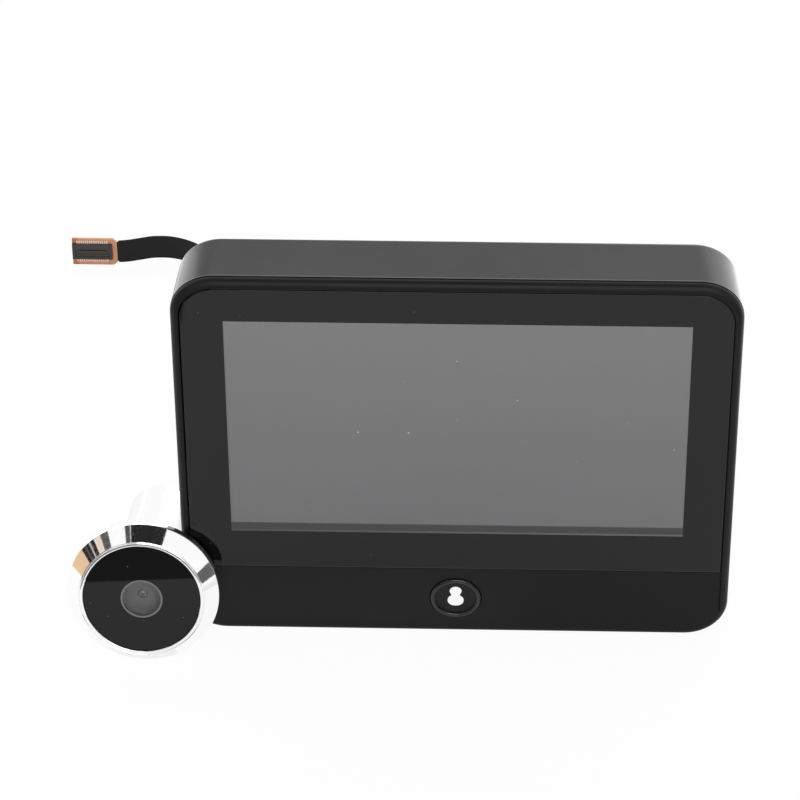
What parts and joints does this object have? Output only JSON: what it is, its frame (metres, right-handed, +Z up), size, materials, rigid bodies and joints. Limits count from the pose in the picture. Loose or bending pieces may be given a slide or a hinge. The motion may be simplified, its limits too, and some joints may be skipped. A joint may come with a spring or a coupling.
{
  "type": "peephole door camera",
  "caption": "Peephole door viewer: a flat indoor monitor with a screen and a view button, and a round chrome outdoor camera whose barrel carries a flat plug-in cable.",
  "frame": {"origin": "centre of the monitor's flat bottom face, on which it stands", "axes": "+X to the right along the monitor's width, +Y from the screen towards the back, +Z up"},
  "size_m": [0.1491, 0.1379, 0.0944],
  "materials": {
    "frame_plastic": "fine satin black moulding",
    "case_plastic": "fine satin black moulding",
    "button_plastic": "satin black moulding",
    "icon_white": "translucent white inlay",
    "cover_glass": "polished, black printed border",
    "tape": "black adhesive foam",
    "lcd": "grey unlit display",
    "light_guide": "white acrylic and film",
    "steel_sheet": "plated sheet",
    "screw_steel": "black zinc",
    "board": "green solder mask",
    "connector": "ivory moulding",
    "battery": "foil pouch",
    "speaker": "black moulding",
    "switch": "plated cap",
    "chrome": "polished chrome",
    "face_black": "polished black panel, clear in the middle",
    "lens_hood": "grey moulding",
    "lens": "coated lens",
    "led": "clear package",
    "plate_plastic": "black moulding",
    "gasket": "black foam rubber",
    "ribbon": "black covered flat cable",
    "copper_plate": "amber film over copper",
    "plug_plastic": "black moulding",
    "contact": "tinned contact tails"
  },
  "bodies": {
    "monitor": {"front_frame": "frame_plastic", "cover_glass": "cover_glass", "glass_tape": "tape", "lcd_panel": "lcd", "light_guide": "light_guide", "backlight_tray": "steel_sheet", "rear_case": "case_plastic", "case_screws": "screw_steel", "main_board": "board", "flex_socket": "connector", "usb_socket": "steel_sheet", "card_socket": "steel_sheet", "battery_pack": "battery", "speaker": "speaker", "key_board": "board", "key_switch": "switch"},
    "button": {"bell_button": "button_plastic", "button_icon": "icon_white", "key_plunger": "button_plastic"},
    "outdoor_camera": {"bezel_ring": "chrome", "face_panel": "face_black", "lens_holder": "lens_hood", "lens_glass": "lens", "led_board": "board", "ir_leds": "led", "back_plate": "plate_plastic", "door_gasket": "gasket", "barrel": "chrome", "sensor_board": "board", "flex_lead": "ribbon", "flex_ribbon": "ribbon", "plug_plate": "copper_plate", "plug_housing": "plug_plastic", "plug_contacts": "contact"}
  },
  "joints": [
    {"name": "button_press", "type": "slide", "parent": "monitor", "child": "button", "axis": [0, 1, 0], "range_m": [0, 0.0005], "stiffness_N_per_m": 4000},
    {"name": "camera_aside", "type": "slide", "parent": "monitor", "child": "outdoor_camera", "axis": [-1, 0, 0], "range_m": [0, 0.05]}
  ]
}
